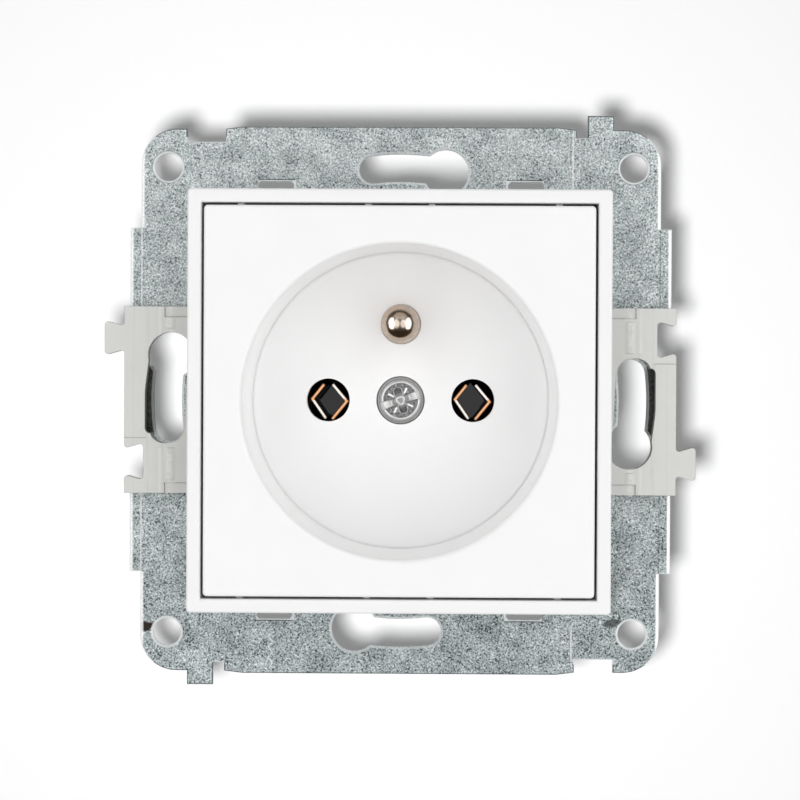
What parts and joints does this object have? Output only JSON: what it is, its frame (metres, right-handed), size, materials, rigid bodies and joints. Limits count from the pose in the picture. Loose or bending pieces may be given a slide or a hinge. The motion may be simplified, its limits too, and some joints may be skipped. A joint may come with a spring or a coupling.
{
  "type": "socket insert",
  "caption": "Flush-mounting mains socket insert with a round recess, an earth pin, a steel mounting plate and dovetail couplers.",
  "frame": {"origin": "centre of the 60 mm fixing pattern, on the rear face of the steel plate", "axes": "+Z out of the front, +Y towards the earth pin, +X to the right seen from the front"},
  "size_m": [0.0758, 0.0736, 0.0395],
  "materials": {
    "galvanised_steel": "galvanised sheet with a fine speckle",
    "grey_plastic": "light warm grey, satin",
    "frame_plastic": "white, satin gloss",
    "cover_plastic": "white, satin gloss",
    "base_plastic": "off-white moulded thermoset, matt",
    "plated_steel": "zinc plated, slightly dull",
    "nickel_plate": "turned brass with bright nickel plating",
    "spring_bronze": "rolled spring bronze, satin"
  },
  "bodies": {
    "root": {"mounting_plate": "galvanised_steel", "right_coupler": "grey_plastic", "left_coupler": "grey_plastic", "adapter_frame": "frame_plastic", "socket_cover": "cover_plastic", "cover_screw": "plated_steel", "cover_screw_nut": "plated_steel", "earth_pin": "nickel_plate", "contact_retainer": "base_plastic", "base_housing": "base_plastic", "live_contact": "spring_bronze", "neutral_contact": "spring_bronze", "earth_strap": "spring_bronze", "live_clamp_plate": "plated_steel", "live_terminal_screw": "plated_steel", "neutral_clamp_plate": "plated_steel", "neutral_terminal_screw": "plated_steel", "earth_clamp_plate": "plated_steel", "earth_terminal_screw": "plated_steel", "upper_right_base_screw": "plated_steel", "upper_left_base_screw": "plated_steel", "lower_left_base_screw": "plated_steel", "lower_right_base_screw": "plated_steel"}
  },
  "joints": []
}
